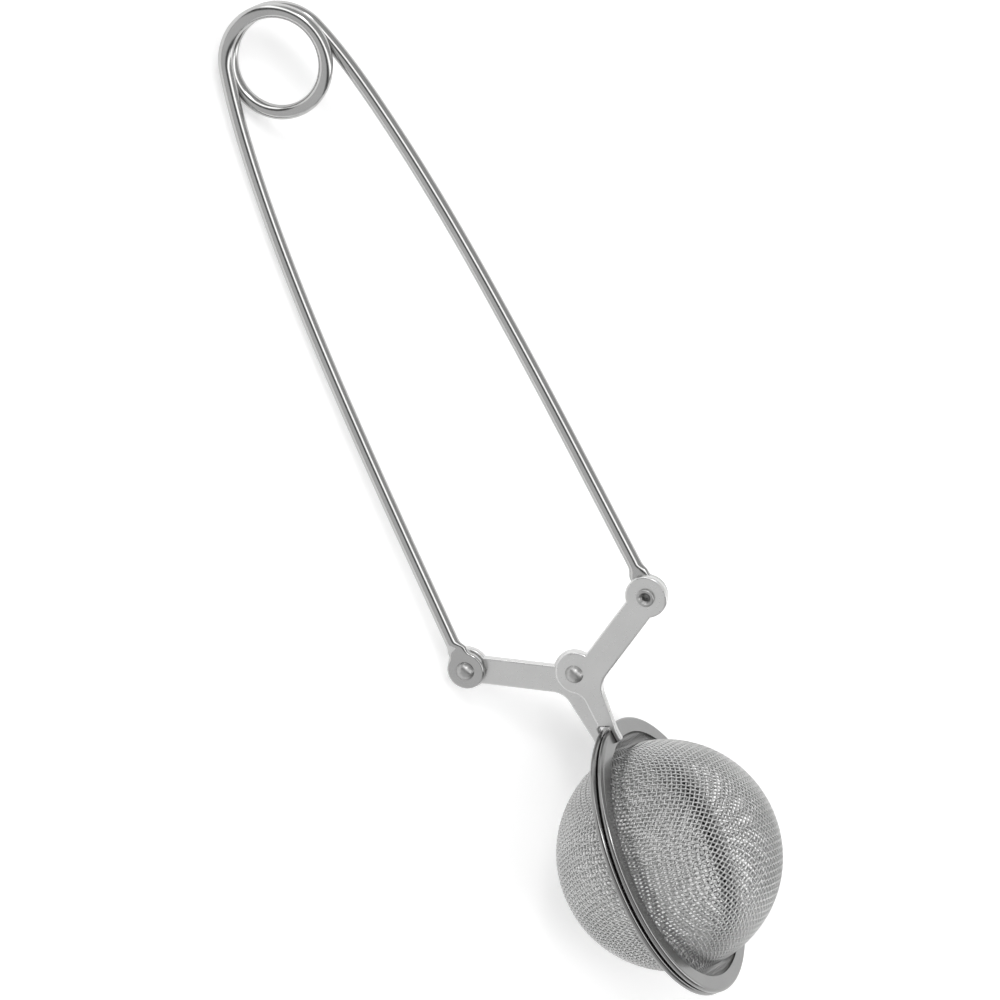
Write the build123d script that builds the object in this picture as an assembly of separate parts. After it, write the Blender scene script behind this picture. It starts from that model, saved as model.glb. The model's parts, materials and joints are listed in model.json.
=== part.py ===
from build123d import *
import os
from math import atan2, cos, pi, radians, sin, sqrt

# Spring-handled mesh-ball tea infuser. All lengths are millimetres.
# The parts are built with the long axis on X (ball towards +X), the pivot axis on Z and the
# seam between the two half balls in the plane Y = 0, with the centre pivot at the origin.
# One placement at the end lays the whole infuser down on its side.

# Half balls
ball_distance = 32.7          # centre pivot to ball centre
rim_radius = 22.5             # outside of the folded rim rings
rim_inner_radius = 20.0       # inner edge of the rings
rim_thickness = 1.1           # one folded ring, across the fold
rim_sheet = 0.3               # sheet that each ring is folded from
seam_half_gap = 0.1           # each ring stands this far off the seam plane
mesh_radius = 18.25           # outside of the woven dome
mesh_thickness = 0.5          # two crossing wires of the weave
mesh_sink = 0.65              # dome centre lies this far behind the seam plane
mesh_neck_radius = 1.2        # bend from the flat skirt into the dome, at mid thickness
skirt_radius = 21.9           # edge of the skirt, inside the fold

# Levers
lever_thickness = 1.3
lever_half_gap = 0.05         # each lever stands this far off the plane Z = 0
arm_length = 17.6             # centre pivot to handle rivet
arm_angle = 66.9              # line between those two, from the long axis
edge_angle = 61.6             # direction of the arm's own edges, from the long axis
arm_width = 4.45
arm_offset = 1.8              # the arm's centre line passes this far to the ball side of the pivot
pivot_eye_radius = 3.4
pivot_eye_shift = 0.35        # the centre eye stands this far off its rivet, towards its own arm
end_eye_radius = 3.3
edge_round = 0.35             # rounding of the stamped edges
right_tail = ((3.0, 3.05), (10.7, 2.05))    # the tail's outer edge, from and to
left_tail = ((3.0, 3.65), (11.6, 2.8))
tail_inner = -0.5             # the tail's inner edge, as Y
tail_end = 9.2                # the inner edge ends here, short of the rings
foot_start = 9.9              # foot that is welded to the rim, where the tail ends
foot_end = 12.6
foot_tip = 0.9                # how far the foot's tip stands off the rim
foot_round = 0.4
corner_radius = 3.2           # inside corner from arm to tail
eye_corner_radius = 2.4       # inside corner from centre eye to tail

# Rivets
shank_radius = 0.85
rivet_hole_radius = 0.9
loose_hole_radius = 1.35      # eye that the right handle rivet floats in
head_radius = 1.45
head_height = 1.0
tail_radius = 1.4
tail_height = 0.5
tail_bore_radius = 0.55
tail_bore_depth = 1.6
tail_mouth_radius = 0.95      # flare of the bore
tail_mouth_depth = 0.45
axial_play = 0.05

# Spring handle, one bent wire
wire_radius = 1.12
coil_distance = 103.5         # centre pivot to coil centre
coil_radius = 7.75            # to the middle of the wire
coil_lean = 1.6               # the coil stands this far off the long axis, towards +Y
coil_pitch = 2.35
leave_angle = 16.5            # direction in which each leg leaves the coil, from the long axis
leg_widths = ((-91.5, 10.6), (-79.0, 12.3), (-55.0, 14.25), (-31.0, 15.35))
neck_length = 5.2             # from the rivet to where the wire begins to flatten
neck_end = 2.8
eye_radius = 3.05
eye_thickness = 1.3
eye_half_gap = 0.05
leg_end_height = 1.2          # the wire's middle above the plane Z = 0 where it flattens

# How the closed infuser lies
lie_roll = 40.0
lie_pitch = -5.15


def half_turn(shape):
    """Turn a left part into its right twin, half a turn about the long axis."""
    return Rot(180, 0, 0) * shape


def direction(angle):
    return Vector(cos(radians(angle)), sin(radians(angle)))


def make_rim():
    """Ring of sheet folded round the mesh skirt, on the +Y side of the seam."""
    low = seam_half_gap
    high = low + rim_thickness
    middle = (low + high) / 2
    fold = rim_thickness / 2
    bend = rim_radius - fold
    slot = fold - rim_sheet
    outer = ThreePointArc((bend, low), (rim_radius, middle), (bend, high))
    inner = ThreePointArc((bend, high - rim_sheet), (bend + slot, middle), (bend, low + rim_sheet))
    section = make_face(Wire([
        Line((rim_inner_radius, low), (bend, low)),
        outer,
        Line((bend, high), (rim_inner_radius, high)),
        Line((rim_inner_radius, high), (rim_inner_radius, high - rim_sheet)),
        Line((rim_inner_radius, high - rim_sheet), (bend, high - rim_sheet)),
        inner,
        Line((bend, low + rim_sheet), (rim_inner_radius, low + rim_sheet)),
        Line((rim_inner_radius, low + rim_sheet), (rim_inner_radius, low)),
    ]))
    return Pos(ball_distance, 0, 0) * revolve(section, Axis.Y)


def make_mesh():
    """Dome with a flat skirt that sits in the rim's fold."""
    seat = seam_half_gap + rim_thickness / 2
    half = mesh_thickness / 2
    dome = mesh_radius - half
    neck_y = seat + mesh_neck_radius
    neck_x = sqrt((dome + mesh_neck_radius) ** 2 - (neck_y + mesh_sink) ** 2)
    rise = atan2(neck_y + mesh_sink, neck_x)
    edges = []
    for side in (half, -half):
        sphere = dome + side
        bend = mesh_neck_radius - side
        foot = (neck_x, neck_y - bend)
        join = (sphere * cos(rise), sphere * sin(rise) - mesh_sink)
        bisector = (rise + pi + 3 * pi / 2) / 2
        on_bend = (neck_x + bend * cos(bisector), neck_y + bend * sin(bisector))
        halfway = (rise + pi / 2) / 2
        on_dome = (sphere * cos(halfway), sphere * sin(halfway) - mesh_sink)
        top = (0, sphere - mesh_sink)
        edges.append(Line((skirt_radius, foot[1]), foot))
        edges.append(ThreePointArc(foot, on_bend, join))
        edges.append(ThreePointArc(join, on_dome, top))
    edges.append(Line((skirt_radius, seat - half), (skirt_radius, seat + half)))
    edges.append(Line((0, dome - half - mesh_sink), (0, dome + half - mesh_sink)))
    section = make_face(Wire(edges))
    return Pos(ball_distance, 0, 0) * revolve(section, Axis.Y)


def nearest(sketch, point):
    return sketch.vertices().sort_by_distance(Vector(*point))[0]


def make_lever(tail):
    """A lever as it lies on the +Z side, carrying the half ball on the +Y side."""
    along = direction(180 - edge_angle)
    across = direction(90 - edge_angle)
    rivet = direction(180 - arm_angle) * arm_length
    reach = rivet.dot(along)
    ball_edge = across * (arm_offset + arm_width / 2)
    coil_edge = across * (arm_offset - arm_width / 2)
    tail_from = Vector(*tail[0])
    tail_to = Vector(*tail[1])
    tail_way = (tail_to - tail_from).normalized()
    gap = tail_from - ball_edge
    corner = ball_edge + along * (gap.cross(tail_way).Z / along.cross(tail_way).Z)
    rim_face = seam_half_gap + rim_thickness
    tip = (foot_end, rim_face + foot_tip)
    blank = Polygon(
        coil_edge + along * reach,
        coil_edge,
        (0, tail_inner),
        (tail_end, tail_inner),
        (foot_start, rim_face),
        (foot_end, rim_face),
        tip,
        tail_to,
        corner,
        ball_edge + along * reach,
        align=None,
    )
    blank = fillet(nearest(blank, corner), corner_radius)
    blank = fillet([nearest(blank, tip), nearest(blank, tail_to)], foot_round)
    blank += Pos(0, pivot_eye_shift) * Circle(pivot_eye_radius)
    blank += Pos(rivet) * Circle(end_eye_radius)
    drop = pivot_eye_shift - tail_inner
    blank = fillet(nearest(blank, (sqrt(pivot_eye_radius ** 2 - drop ** 2), tail_inner)), eye_corner_radius)
    plate = Pos(0, 0, lever_half_gap) * extrude(blank, lever_thickness)
    flats = plate.faces().sort_by(Axis.Z)
    plate = fillet(flats[0].edges() + flats[-1].edges(), edge_round)
    plate -= Cylinder(rivet_hole_radius, 4 * lever_thickness)
    return plate - Pos(rivet) * Cylinder(rivet_hole_radius, 4 * lever_thickness)


def make_rivet():
    """Semi-tubular rivet on the Z axis: domed head above, rolled tail below."""
    upwards = (Align.CENTER, Align.CENTER, Align.MIN)
    reach = lever_half_gap + lever_thickness
    seat = reach + axial_play
    cap = (head_radius ** 2 + head_height ** 2) / (2 * head_height)
    head = Pos(0, 0, seat + head_height - cap) * Sphere(cap)
    head &= Pos(0, 0, seat) * Cylinder(2 * head_radius, head_height, align=upwards)
    shank = Pos(0, 0, -reach) * Cylinder(shank_radius, seat + reach, align=upwards)
    end = Pos(0, 0, -reach - tail_height)
    roll = end * Cylinder(tail_radius, tail_height, align=upwards)
    roll = fillet(roll.faces().sort_by(Axis.Z)[0].edges(), tail_height * 0.6)
    bore = end * Cylinder(tail_bore_radius, tail_bore_depth, align=upwards)
    mouth = end * Cone(tail_mouth_radius, tail_bore_radius, tail_mouth_depth, align=upwards)
    return head + shank + roll - bore - mouth


def make_handle_half(lean, hole_radius):
    """The left half of the spring wire: half the coil, the leg on the -Y side and its eye."""
    centre = Vector(-coil_distance, lean)
    turn = 360 - 90 - leave_angle
    rise = coil_pitch * turn / 360
    coil = Helix(coil_pitch, rise, coil_radius)
    coil = Pos(centre) * coil
    start = coil @ 0
    end = coil @ 1
    leaving = coil % 1
    rivet = direction(180 + arm_angle) * arm_length
    eye_middle = eye_half_gap + eye_thickness / 2
    stations = []
    for x, width in leg_widths:
        share = (x - rivet.X) / (-coil_distance - rivet.X)
        height = leg_end_height + (rise - leg_end_height) * share
        stations.append(Vector(x, lean * share - width, height))
    last = stations[-1]
    inwards = Vector(rivet.X - last.X, rivet.Y - last.Y).normalized()
    neck = rivet - inwards * neck_length
    leg = Spline(end, *stations, Vector(neck.X, neck.Y, leg_end_height), tangents=(leaving, inwards))
    section = Circle(wire_radius)
    coil_wire = sweep(Plane(origin=start, z_dir=coil % 0) * section, path=coil)
    leg_wire = sweep(Plane(origin=end, z_dir=leaving) * section, path=leg)
    neck_start = Plane(origin=leg @ 1, x_dir=(0, 0, 1), z_dir=inwards) * section
    tip = rivet - inwards * neck_end
    flat = Plane(origin=(tip.X, tip.Y, eye_middle), x_dir=(0, 0, 1), z_dir=inwards)
    flat_section = flat * Ellipse(eye_thickness / 2, wire_radius * 1.6)
    flare = loft([neck_start, flat_section])
    disc = Pos(rivet.X, rivet.Y, eye_middle) * Cylinder(eye_radius, eye_thickness)
    hole = Pos(rivet.X, rivet.Y, eye_middle) * Cylinder(hole_radius, 4 * eye_thickness)
    room = Pos(rivet.X, rivet.Y, eye_half_gap + eye_thickness) * Cylinder(
        eye_radius * 0.85, eye_thickness, align=(Align.CENTER, Align.CENTER, Align.MIN))
    return coil_wire + leg_wire + flare + disc - hole - room


rim_right = make_rim()
mesh_right = make_mesh()
rivet = make_rivet()
rivet_spot = direction(180 - arm_angle) * arm_length
rivet_left = Pos(rivet_spot.X, -rivet_spot.Y, 0) * rivet

nodes = {
    "spring_handle_left": make_handle_half(coil_lean, rivet_hole_radius),
    "spring_handle_right": half_turn(make_handle_half(-coil_lean, loose_hole_radius)),
    "lever_left": half_turn(make_lever(left_tail)),
    "lever_right": make_lever(right_tail),
    "rivet_centre": Pos(0, 0, -axial_play) * rivet,
    "rivet_left": rivet_left,
    "rivet_right": half_turn(rivet_left),
    "rim_ring_left": half_turn(rim_right),
    "rim_ring_right": rim_right,
    "mesh_dome_left": half_turn(mesh_right),
    "mesh_dome_right": mesh_right,
}

# Lay it down, then put the origin under the middle of its footprint
lying = Rot(0, lie_pitch, 0) * Rot(lie_roll, 0, 0)
box = Compound([lying * part for part in nodes.values()]).bounding_box()
placement = Pos(-box.center().X, -box.center().Y, -box.min.Z) * lying

os.makedirs("parts", exist_ok=True)
for name, part in nodes.items():
    export_step(placement * part, f"parts/{name}.step")
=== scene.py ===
import json
from math import atan2, cos, pi, radians, sin, sqrt

import bmesh
import bpy
import numpy as np
from mathutils import Matrix, Vector


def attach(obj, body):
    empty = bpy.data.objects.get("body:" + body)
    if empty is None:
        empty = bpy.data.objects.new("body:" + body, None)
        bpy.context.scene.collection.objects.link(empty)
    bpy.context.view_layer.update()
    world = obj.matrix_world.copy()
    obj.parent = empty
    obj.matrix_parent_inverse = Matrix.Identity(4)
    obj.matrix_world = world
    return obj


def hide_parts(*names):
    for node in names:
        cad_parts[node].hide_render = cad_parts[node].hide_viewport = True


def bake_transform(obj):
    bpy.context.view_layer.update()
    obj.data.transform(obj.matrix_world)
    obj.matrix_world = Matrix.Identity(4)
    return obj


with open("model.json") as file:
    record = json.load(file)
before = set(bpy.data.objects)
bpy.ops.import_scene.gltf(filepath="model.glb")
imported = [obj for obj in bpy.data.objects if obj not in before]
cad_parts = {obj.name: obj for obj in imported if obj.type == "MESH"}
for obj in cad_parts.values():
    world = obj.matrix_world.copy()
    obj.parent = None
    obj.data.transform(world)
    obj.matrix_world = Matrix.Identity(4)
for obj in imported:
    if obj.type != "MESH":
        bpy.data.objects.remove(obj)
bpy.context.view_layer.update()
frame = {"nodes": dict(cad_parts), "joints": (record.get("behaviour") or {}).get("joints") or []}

# The infuser's own axes, from its centre pivot: X towards the ball, Y the way the right half opens,
# Z along the pivot. The handle and the weave are built in these axes, in millimetres, then laid
# into the frame.
MM = 0.001
joints = {joint["name"]: joint for joint in frame["joints"]}
pivot = Vector(joints["centre_pivot"]["pos_m"])
pivot_axis = Vector(joints["centre_pivot"]["axis"]).normalized()
long_axis = Vector((pivot_axis.z, 0, -pivot_axis.x)).normalized()
open_axis = pivot_axis.cross(long_axis)
lay = Matrix.Translation(pivot) @ Matrix((long_axis, open_axis, pivot_axis)).transposed().to_4x4()
lay_mm = lay @ Matrix.Scale(MM, 4)

# Spring handle. A width is how far the leg stands out from the middle at that X.
wire_radius = 1.12
wire_sides = 14
coil_centre = (-103.5, 1.6)
coil_radius = 7.75
coil_pitch = 2.35
coil_stations = 37
leave_angle = 16.5
leg_widths = ((-91.5, 10.6), (-79.0, 12.3), (-55.0, 14.25), (-31.0, 15.35))
leg_end_height = 1.2
leg_spacing = 3.0
arm_length = 17.6
arm_angle = 66.9
neck_length = 5.2
# Neck sections: share of the way from eye to wire, half width, half height
neck_sections = ((0.2, 1.66, 0.66), (0.42, 1.42, 0.74), (0.66, 1.2, 1.0), (0.86, 1.12, 1.12))
eye_radius = 3.05
eye_low = 0.05
eye_high = 1.35
eye_round = 0.22
eye_hole = 0.9
loose_eye_hole = 1.35
eye_columns = 24
mouth_reach = 2
handle_levels = 2
join_distance = 0.02

# Woven half balls. The skirt is the flat edge of the mesh that the rim holds.
ball_distance = 32.7
dome_radius = 18.0
dome_sink = 0.65
neck_bend = 1.2
skirt_height = 0.65
weave_end_radius = 21.5
weave_pitch = 0.72
weave_wire_radius = 0.128
weave_crimp = 0.114
weave_turn = 30.0
weave_sides = 6
# Solving the weave's net: most crossings each way, rounds for each, least sine of the angle between
# its wires, and a direction that no normal has
net_reach = 60
net_rounds = 12
least_crossing = 0.12
any_way = (1.0, 0.3, 0.2)
shortest_strand = 5

# Steel surfaces. Fine grain and broad drifts are noise; a range is the part of its values that is used.
fine_detail = 4.0
fine_range = (0.3, 0.7)
broad_scale = 160.0
broad_detail = 3.0
broad_range = (0.25, 0.75)
sheen_spread = 0.12
rubbed_sheen = 0.7
grain_strength = 0.5
# Rubbed edges: reach in millimetres, samples, and the cosines between the smoothed normal and the
# true one where rubbing starts and is full
wear_reach = 0.25
wear_samples = 6
wear_range = (0.995, 0.9)
# Painted shade on the weave in the crevice beside the rims: distances from the seam, in millimetres
painted_shade_full = 1.7
painted_shade_end = 3.1

# Floor, in metres
floor_size = 3.0
floor_tone = 0.93
floor_roughness = 0.9
floor_gloss = 0.1
floor_glow = 0.35

# Room light: its level at each place, from -1 to 1, along room_axis
room_axis = Vector((-0.410, 0.896, 0.177))
room_stops = (
    (-1.0, 0.9), (-0.34, 0.88), (-0.2, 0.12), (0.04, 0.12), (0.16, 0.9), (0.28, 3.2), (0.4, 3.2), (0.52, 0.6),
)
room_strength = 0.85

# Camera: its place and directions in the infuser's axes and millimetres
camera_place = Vector((-104.52, 191.59, 450.78))
camera_right = Vector((0.44702, 0.84855, -0.2831))
camera_forward = Vector((0.15198, -0.38392, -0.91077))
camera_lens = 116.81
camera_sensor = 36.0
camera_clip = 0.01


def new_object(name, vertices, faces, matrix):
    mesh = bpy.data.meshes.new(name)
    mesh.from_pydata([tuple(v) for v in vertices], [], [tuple(f) for f in faces])
    mesh.transform(matrix)
    mesh.validate()
    mesh.shade_smooth()
    mesh.update()
    obj = bpy.data.objects.new(name, mesh)
    bpy.context.scene.collection.objects.link(obj)
    return obj


def unit(vector):
    return vector / np.linalg.norm(vector)


def units(vectors):
    return vectors / np.linalg.norm(vectors, axis=1)[:, None]


# ---------------------------------------------------------------- spring handle
def smooth_curve(points, first_tangent, last_tangent, step):
    """Points along the cubic spline through the given points, about step apart."""
    points = np.array(points, float)
    chords = np.linalg.norm(np.diff(points, axis=0), axis=1)
    count = len(points)
    system = np.zeros((count, count))
    known = np.zeros((count, 3))
    system[0, 0] = 1
    system[-1, -1] = 1
    known[0] = first_tangent
    known[-1] = last_tangent
    for i in range(1, count - 1):
        before = chords[i - 1]
        after = chords[i]
        system[i, i - 1] = 1 / before
        system[i, i] = 2 / before + 2 / after
        system[i, i + 1] = 1 / after
        known[i] = 3 * ((points[i] - points[i - 1]) / before ** 2 + (points[i + 1] - points[i]) / after ** 2)
    slopes = np.linalg.solve(system, known)
    out = []
    for i in range(count - 1):
        span = chords[i]
        parts = max(2, round(span / step))
        for t in np.arange(parts) / parts:
            out.append(
                (2 * t ** 3 - 3 * t ** 2 + 1) * points[i]
                + (t ** 3 - 2 * t ** 2 + t) * span * slopes[i]
                + (3 * t ** 2 - 2 * t ** 3) * points[i + 1]
                + (t ** 3 - t ** 2) * span * slopes[i + 1]
            )
    out.append(points[-1])
    return np.array(out)


wire_angles = [2 * pi * (i + 0.5) / wire_sides for i in range(wire_sides)]
# A subdivided ring lies inside its cage by this factor
cage_gain = 3 / (2 + cos(2 * pi / wire_sides))


def ring(centre, tangent, half_width, half_height):
    side = unit(np.cross((0, 0, 1), tangent))
    up = np.cross(tangent, side)
    return [centre + side * half_width * cos(a) + up * half_height * sin(a) for a in wire_angles]


def handle_path(lean, rivet):
    """Middle line of the left half of the wire, from its neck to the middle of the coil, with its tangents."""
    centre = np.array([coil_centre[0], lean, 0.0])
    turn = radians(360 - 90 - leave_angle)
    climb = coil_pitch / (2 * pi)
    coil = []
    for angle in np.linspace(0, turn, coil_stations):
        coil.append(centre + (coil_radius * cos(angle), coil_radius * sin(angle), climb * angle))
    leaving = unit(np.array([-sin(turn), cos(turn), climb / coil_radius]))
    stations = [coil[-1]]
    for x, width in leg_widths:
        share = (x - rivet[0]) / (coil_centre[0] - rivet[0])
        stations.append((x, lean * share - width, leg_end_height + (climb * turn - leg_end_height) * share))
    inwards = rivet - np.array(stations[-1])
    inwards[2] = 0
    inwards = unit(inwards)
    neck = rivet - inwards * neck_length
    neck[2] = leg_end_height
    stations.append(neck)
    leg = smooth_curve(stations, leaving, inwards, leg_spacing)
    path = np.vstack([coil, leg[1:]])[::-1]
    tangents = units(np.gradient(path, axis=0))
    slope = atan2(climb, coil_radius)
    tangents[0] = -inwards
    tangents[-1] = (0, -cos(slope), -sin(slope))
    return path, tangents


def eye_cage(hole, rivet, out):
    """Flat ring round a rivet, its wall left open towards out, and the points round that mouth."""
    middle = (eye_low + eye_high) / 2
    half = (eye_high - eye_low) / 2
    e = eye_round
    halfway = (hole + eye_radius) / 2
    profile = (
        (hole, -half + e), (hole, half - e), (hole + e, half), (halfway, half), (eye_radius - e, half),
        (eye_radius, half - e), (eye_radius, -half + e), (eye_radius - e, -half), (halfway, -half),
        (hole + e, -half),
    )
    columns = range(-eye_columns // 2, eye_columns // 2)
    across = np.cross((0, 0, 1), out)
    vertices = []
    index = {}
    for k in columns:
        angle = 2 * pi * k / eye_columns
        ray = out * cos(angle) + across * sin(angle)
        for row, (r, z) in enumerate(profile):
            if abs(k) < mouth_reach and row in (5, 6):
                continue
            index[k % eye_columns, row] = len(vertices)
            vertices.append(rivet + ray * r + np.array((0, 0, middle + z)))
    faces = []
    for k in columns:
        for row in range(len(profile)):
            if -mouth_reach <= k < mouth_reach and row in (4, 5, 6):
                continue
            nearer = k % eye_columns
            further = (k + 1) % eye_columns
            after = (row + 1) % len(profile)
            faces.append((index[nearer, row], index[further, row], index[further, after], index[nearer, after]))
    # Columns and rows round the mouth
    mouth = (
        (2, 5), (2, 4), (1, 4), (0, 4), (-1, 4), (-2, 4), (-2, 5),
        (-2, 6), (-2, 7), (-1, 7), (0, 7), (1, 7), (2, 7), (2, 6),
    )
    return vertices, faces, [index[k % eye_columns, row] for k, row in mouth]


def handle_half(lean, hole):
    """Cage of the left half of the wire: its eye, its neck and leg, and half of the coil."""
    heading = radians(180 + arm_angle)
    rivet = np.array([cos(heading), sin(heading), 0]) * arm_length
    path, tangents = handle_path(lean, rivet)
    out = tangents[0]
    vertices, faces, previous = eye_cage(hole, rivet, out)
    start = rivet + out * eye_radius
    start[2] = (eye_low + eye_high) / 2
    rings = []
    for share, half_width, half_height in neck_sections:
        point = start + (path[0] - start) * share
        point[2] = start[2] + (leg_end_height - start[2]) * share * share * (3 - 2 * share)
        rings.append(ring(point, out, half_width * cage_gain, half_height * cage_gain))
    for point, tangent in zip(path, tangents):
        rings.append(ring(point, tangent, wire_radius * cage_gain, wire_radius * cage_gain))
    for points in rings:
        current = list(range(len(vertices), len(vertices) + wire_sides))
        vertices.extend(points)
        for i in range(wire_sides):
            after = (i + 1) % wire_sides
            faces.append((previous[i], previous[after], current[after], current[i]))
        previous = current
    return np.array(vertices), faces


def subdivide(obj, levels):
    """Give obj the smooth mesh that its cage stands for."""
    modifier = obj.modifiers.new("smooth", "SUBSURF")
    modifier.levels = levels
    modifier.render_levels = levels
    depsgraph = bpy.context.evaluated_depsgraph_get()
    mesh = bpy.data.meshes.new_from_object(obj.evaluated_get(depsgraph))
    obj.modifiers.clear()
    obj.data = mesh
    mesh.shade_smooth()


def make_handle():
    """The whole wire as one piece. The right half is the left one turned over about the long axis."""
    left, left_faces = handle_half(coil_centre[1], eye_hole)
    right, right_faces = handle_half(-coil_centre[1], loose_eye_hole)
    right = right * (1, -1, -1)
    shift = len(left)
    faces = left_faces + [tuple(i + shift for i in face) for face in right_faces]
    handle = new_object("spring_handle", np.vstack([left, right]), faces, lay_mm)
    work = bmesh.new()
    work.from_mesh(handle.data)
    bmesh.ops.remove_doubles(work, verts=work.verts, dist=join_distance * MM)
    bmesh.ops.recalc_face_normals(work, faces=work.faces)
    work.to_mesh(handle.data)
    work.free()
    subdivide(handle, handle_levels)
    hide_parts("spring_handle_left", "spring_handle_right")
    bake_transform(handle)
    return handle


# ---------------------------------------------------------------- woven half balls
neck_y = skirt_height + neck_bend
neck_x = sqrt((dome_radius + neck_bend) ** 2 - (neck_y + dome_sink) ** 2)
neck_rise = atan2(neck_y + dome_sink, neck_x)


def onto_dome(point):
    """Nearest point of the pressed mesh's middle surface, and its outward normal. Y is the dome's axis."""
    x, y, z = point
    r = sqrt(x * x + z * z)
    if r < 1e-9:
        return np.array((0, dome_radius - dome_sink, 0)), np.array((0, 1.0, 0))
    spoke = np.array((x / r, 0, z / r))
    up = np.array((0, 1.0, 0))
    if atan2(y + dome_sink, r) > neck_rise:
        normal = unit(np.array((x, y + dome_sink, z)))
        return normal * dome_radius - up * dome_sink, normal
    if r < neck_x:
        normal = unit(spoke * (neck_x - r) + up * (neck_y - y))
        return spoke * neck_x + up * neck_y - normal * neck_bend, normal
    return spoke * r + up * skirt_height, up


def along_profile(length):
    """Radius and height of the dome's profile, that far along it from the pole."""
    arc = dome_radius * (pi / 2 - neck_rise)
    if length < arc:
        angle = pi / 2 - length / dome_radius
        return dome_radius * cos(angle), dome_radius * sin(angle) - dome_sink
    bend = neck_bend * (pi / 2 - neck_rise)
    if length < arc + bend:
        angle = (length - arc) / neck_bend + neck_rise
        return neck_x - neck_bend * cos(angle), neck_y - neck_bend * sin(angle)
    return neck_x + length - arc - bend, skirt_height


def next_crossing(a, b, c):
    """The point of the dome one pitch from a and from b, across from c, or None where the mesh closes up."""
    point, normal = onto_dome(a + b - c)
    for _ in range(net_rounds):
        away = point - a, point - b
        sizes = np.linalg.norm(away[0]), np.linalg.norm(away[1])
        first = unit(np.cross(normal, any_way))
        second = np.cross(normal, first)
        system = np.array([[away[k] @ first / sizes[k], away[k] @ second / sizes[k]] for k in range(2)])
        if abs(np.linalg.det(system)) < least_crossing:
            return None
        step = np.linalg.solve(system, [weave_pitch - sizes[0], weave_pitch - sizes[1]])
        point, normal = onto_dome(point + first * step[0] + second * step[1])
    return point


def weave_net():
    """Crossings of a square mesh pressed into the dome without stretching, over one quarter."""
    net = {}
    for i in range(net_reach):
        r, y = along_profile(i * weave_pitch)
        if r > weave_end_radius:
            break
        net[i, 0] = np.array((r, y, 0))
        net[0, i] = np.array((0, y, r))
    for i in range(1, net_reach):
        for j in range(1, net_reach):
            if (i - 1, j) not in net or (i, j - 1) not in net:
                continue
            point = next_crossing(net[i - 1, j], net[i, j - 1], net[i - 1, j - 1])
            if point is not None and sqrt(point[0] ** 2 + point[2] ** 2) <= weave_end_radius:
                net[i, j] = point
    return net


def weave_strand(points, normals, lifts):
    """Tube along one wire of the weave, with closed ends."""
    path = points + normals * lifts[:, None]
    tangents = units(np.gradient(path, axis=0))
    side = units(np.cross(normals, tangents))
    up = np.cross(tangents, side)
    angles = 2 * pi * np.arange(weave_sides) / weave_sides
    rings = (
        path[:, None]
        + weave_wire_radius * np.cos(angles)[None, :, None] * side[:, None]
        + weave_wire_radius * np.sin(angles)[None, :, None] * up[:, None]
    )
    vertices = rings.reshape(-1, 3)
    faces = []
    count = len(path)
    for n in range(count - 1):
        for k in range(weave_sides):
            here = n * weave_sides + k
            there = n * weave_sides + (k + 1) % weave_sides
            faces.append((here, there, there + weave_sides, here + weave_sides))
    faces.append(tuple(range(weave_sides))[::-1])
    faces.append(tuple(range((count - 1) * weave_sides, count * weave_sides)))
    return vertices, faces


def weave_layer(net, along_x):
    """All the wires that run one way, with points at the crossings and halfway between."""
    vertices = []
    faces = []
    total = 0
    last = max(i for i, j in net)
    for row in range(-last, last + 1):
        points = []
        normals = []
        lifts = []
        for step in range(-last, last + 1):
            key = (abs(step), abs(row)) if along_x else (abs(row), abs(step))
            if key not in net:
                continue
            i, j = (step, row) if along_x else (row, step)
            point = net[key] * (1 if i >= 0 else -1, 1, 1 if j >= 0 else -1)
            point, normal = onto_dome(point)
            if points:
                between, between_normal = onto_dome((point + points[-1]) / 2)
                points.append(between)
                normals.append(between_normal)
                lifts.append(0.0)
            points.append(point)
            normals.append(normal)
            over = (i + j) % 2 == 0
            lifts.append(weave_crimp if over == along_x else -weave_crimp)
        if len(points) < shortest_strand:
            continue
        tube, tube_faces = weave_strand(np.array(points), np.array(normals), np.array(lifts))
        vertices.append(tube)
        faces.extend(tuple(i + total for i in face) for face in tube_faces)
        total += len(tube)
    return np.vstack(vertices), faces


def make_domes():
    """Two layers of wires for each half ball. The left ball is the right one turned over."""
    net = weave_net()
    made = []
    layers = {"warp": weave_layer(net, True), "weft": weave_layer(net, False)}
    for side, turn_over in (("right", 0), ("left", pi)):
        place = (
            Matrix.Rotation(turn_over, 4, "X")
            @ Matrix.Translation((ball_distance, 0, 0))
            @ Matrix.Rotation(radians(weave_turn), 4, "Y")
        )
        for layer, (vertices, faces) in layers.items():
            piece = new_object(f"mesh_{side}_{layer}", vertices, faces, lay_mm @ place)
            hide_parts(f"mesh_dome_{side}")
            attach(piece, f"half_{side}")
            made.append(piece)
    return made


# ---------------------------------------------------------------- materials
def noise(tree, place, scale, detail):
    node = tree.nodes.new("ShaderNodeTexNoise")
    node.inputs["Scale"].default_value = scale
    node.inputs["Detail"].default_value = detail
    tree.links.new(place, node.inputs["Vector"])
    return node.outputs["Fac"]


def along(tree, vector, axis):
    """How far the vector runs along the axis."""
    node = tree.nodes.new("ShaderNodeVectorMath")
    node.operation = "DOT_PRODUCT"
    node.inputs[1].default_value = axis
    tree.links.new(vector, node.inputs[0])
    return node.outputs["Value"]


def remap(tree, value, before, after, interpolation="LINEAR"):
    """The value, carried from one range to another and held at the ends."""
    node = tree.nodes.new("ShaderNodeMapRange")
    node.interpolation_type = interpolation
    node.inputs["From Min"].default_value = before[0]
    node.inputs["From Max"].default_value = before[1]
    node.inputs["To Min"].default_value = after[0]
    node.inputs["To Max"].default_value = after[1]
    tree.links.new(value, node.inputs["Value"])
    return node.outputs["Result"]


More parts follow.
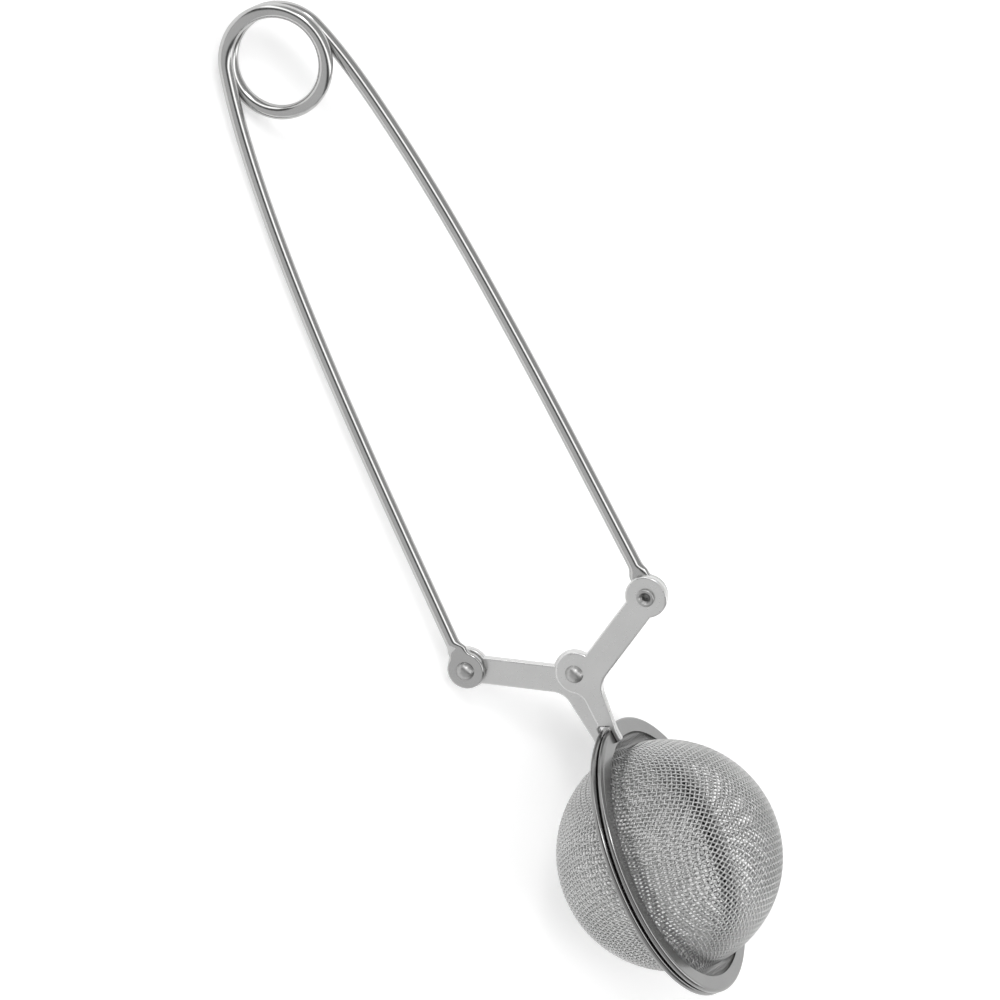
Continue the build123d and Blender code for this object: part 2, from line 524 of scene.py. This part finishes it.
def steel(name, colour, roughness, grain, grain_depth, tint=0.05, wear=0.0, painted_shade=0.0):
    """Stainless steel: fine grain in its surface and sheen, broad drifts in its tone.

    wear brightens its edges, and beside the rims its colour is darkened by painted shade, as in a crevice.
    """
    material = bpy.data.materials.new(name)
    material.use_nodes = True
    tree = material.node_tree
    shader = tree.nodes["Principled BSDF"]
    shader.inputs["Metallic"].default_value = 1.0
    place = tree.nodes.new("ShaderNodeTexCoord").outputs["Object"]
    fine = noise(tree, place, grain, fine_detail)
    broad = noise(tree, place, broad_scale, broad_detail)
    shade = remap(tree, broad, broad_range, (1 - tint, 1 + tint))
    sheen = remap(tree, fine, fine_range, (roughness * (1 - sheen_spread), roughness * (1 + sheen_spread)))
    # Painted shade: the colour is darkened in the crevice beside the rims
    if painted_shade:
        shade = fade(tree, painted_shade_mask(tree, place), shade, 1 - painted_shade)
    if wear:
        rubbed = edge_mask(tree)
        shade = fade(tree, rubbed, shade, 1 + wear)
        sheen = fade(tree, rubbed, sheen, roughness * rubbed_sheen)

    colouring = tree.nodes.new("ShaderNodeVectorMath")
    colouring.operation = "SCALE"
    colouring.inputs[0].default_value = colour
    tree.links.new(shade, colouring.inputs["Scale"])
    tree.links.new(colouring.outputs["Vector"], shader.inputs["Base Color"])
    tree.links.new(sheen, shader.inputs["Roughness"])
    bump = tree.nodes.new("ShaderNodeBump")
    bump.inputs["Strength"].default_value = grain_strength
    bump.inputs["Distance"].default_value = grain_depth
    tree.links.new(fine, bump.inputs["Height"])
    tree.links.new(bump.outputs["Normal"], shader.inputs["Normal"])
    return material


def edge_mask(tree):
    """1 where the surface turns sharply within wear_reach, 0 on flats."""
    rounded = tree.nodes.new("ShaderNodeBevel")
    rounded.samples = wear_samples
    rounded.inputs["Radius"].default_value = wear_reach * MM
    surface = tree.nodes.new("ShaderNodeNewGeometry")
    agree = tree.nodes.new("ShaderNodeVectorMath")
    agree.operation = "DOT_PRODUCT"
    tree.links.new(rounded.outputs["Normal"], agree.inputs[0])
    tree.links.new(surface.outputs["Normal"], agree.inputs[1])
    return remap(tree, agree.outputs["Value"], wear_range, (0.0, 1.0))


def painted_shade_mask(tree, place):
    """1 in the crevice beside the rims, where painted shade darkens the weave, 0 out on the domes."""
    offset = tree.nodes.new("ShaderNodeMath")
    offset.operation = "SUBTRACT"
    offset.inputs[1].default_value = pivot.dot(open_axis)
    tree.links.new(along(tree, place, open_axis), offset.inputs[0])
    size = tree.nodes.new("ShaderNodeMath")
    size.operation = "ABSOLUTE"
    tree.links.new(offset.outputs["Value"], size.inputs[0])
    return remap(tree, size.outputs["Value"], (painted_shade_full * MM, painted_shade_end * MM), (1.0, 0.0), "SMOOTHSTEP")


def fade(tree, share, value, wear_and_shade_value):
    """The value, going over to the given end value where share is 1: rubbed wear on edges, painted shade beside
    the rims.
    """
    mix = tree.nodes.new("ShaderNodeMix")
    tree.links.new(share, mix.inputs["Factor"])
    tree.links.new(value, mix.inputs["A"])
    mix.inputs["B"].default_value = wear_and_shade_value
    return mix.outputs["Result"]


def paint(obj, material):
    obj.data.materials.clear()
    obj.data.materials.append(material)


handle = make_handle()
domes = make_domes()

wire_steel = steel(
    "drawn_wire_steel", (0.47, 0.47, 0.467), roughness=0.17, grain=2500.0, grain_depth=0.000003,
)
sheet_steel = steel(
    "satin_sheet_steel", (0.64, 0.64, 0.636), roughness=0.30, grain=2200.0, grain_depth=0.0000015,
    tint=0.04, wear=0.10,
)
rim_steel = steel(
    "rolled_rim_steel", (0.242, 0.242, 0.24), roughness=0.19, grain=2000.0, grain_depth=0.0000015,
    tint=0.04, wear=0.12,
)
# The weave is darkened by painted shade in the crevice beside the rims
weave_steel = steel(
    "woven_wire_steel", (0.58, 0.58, 0.577), roughness=0.46, grain=4000.0, grain_depth=0.000002,
    tint=0.08, painted_shade=0.45,
)
rivet_steel = steel(
    "rivet_steel", (0.41, 0.41, 0.407), roughness=0.38, grain=2500.0, grain_depth=0.000002,
    tint=0.05, wear=0.12,
)

paint(handle, wire_steel)
for piece in domes:
    paint(piece, weave_steel)
for side in ("left", "right"):
    paint(frame["nodes"][f"lever_{side}"], sheet_steel)
    paint(frame["nodes"][f"rim_ring_{side}"], rim_steel)
    paint(frame["nodes"][f"rivet_{side}"], rivet_steel)
paint(frame["nodes"]["rivet_centre"], rivet_steel)


# ---------------------------------------------------------------- floor, light and camera
def make_floor():
    corners = [(x * floor_size, y * floor_size, 0) for x, y in ((-1, -1), (1, -1), (1, 1), (-1, 1))]
    floor = new_object("floor", corners, [(0, 1, 2, 3)], Matrix.Identity(4))
    material = bpy.data.materials.new("pale_floor")
    material.use_nodes = True
    shader = material.node_tree.nodes["Principled BSDF"]
    shader.inputs["Base Color"].default_value = (floor_tone, floor_tone, floor_tone, 1)
    shader.inputs["Roughness"].default_value = floor_roughness
    shader.inputs["Specular IOR Level"].default_value = floor_gloss
    shader.inputs["Emission Color"].default_value = (1, 1, 1, 1)
    shader.inputs["Emission Strength"].default_value = floor_glow
    paint(floor, material)


def ramp(tree, value, stops):
    """A level that changes with the value, from 0 to 1, through the given (place, level) stops."""
    node = tree.nodes.new("ShaderNodeValToRGB")
    elements = node.color_ramp.elements
    while len(elements) < len(stops):
        elements.new(0.5)
    for element, (place, level) in zip(elements, stops):
        element.position = place
        element.color = (level, level, level, 1)
    tree.links.new(value, node.inputs["Fac"])
    return node.outputs["Color"]


def room_light():
    """A pale room with one long bright panel overhead and an unlit gap beside it."""
    world = bpy.data.worlds.new("studio")
    bpy.context.scene.world = world
    world.use_nodes = True
    tree = world.node_tree
    background = tree.nodes["Background"]
    direction = tree.nodes.new("ShaderNodeTexCoord").outputs["Generated"]
    share = remap(tree, along(tree, direction, room_axis.normalized()), (-1.0, 1.0), (0.0, 1.0))
    peak = max(level for place, level in room_stops)
    levels = [((1 + place) / 2, level / peak) for place, level in room_stops]
    tree.links.new(ramp(tree, share, levels), background.inputs["Color"])
    background.inputs["Strength"].default_value = peak * room_strength


def soft_light(name, place, target, width, height, power):
    data = bpy.data.lights.new(name, "AREA")
    data.shape = "RECTANGLE"
    data.size = width
    data.size_y = height
    data.energy = power
    obj = bpy.data.objects.new(name, data)
    obj.location = place
    obj.rotation_euler = (Vector(target) - Vector(place)).to_track_quat("-Z", "Y").to_euler()
    bpy.context.scene.collection.objects.link(obj)


def make_camera():
    right = camera_right.normalized()
    forward = (camera_forward - right * camera_forward.dot(right)).normalized()
    turned = Matrix((right, right.cross(forward), -forward)).transposed().to_4x4()
    data = bpy.data.cameras.new("camera")
    data.lens = camera_lens
    data.sensor_width = camera_sensor
    data.clip_start = camera_clip
    camera = bpy.data.objects.new("camera", data)
    bpy.context.scene.collection.objects.link(camera)
    camera.matrix_world = lay @ Matrix.Translation(camera_place * MM) @ turned
    bpy.context.scene.camera = camera


make_floor()
room_light()
make_camera()
soft_light("key", place=(-0.62, 0.14, 0.77), target=(0, 0, 0), width=0.20, height=0.20, power=1.2)
bpy.context.scene.view_settings.view_transform = "Standard"
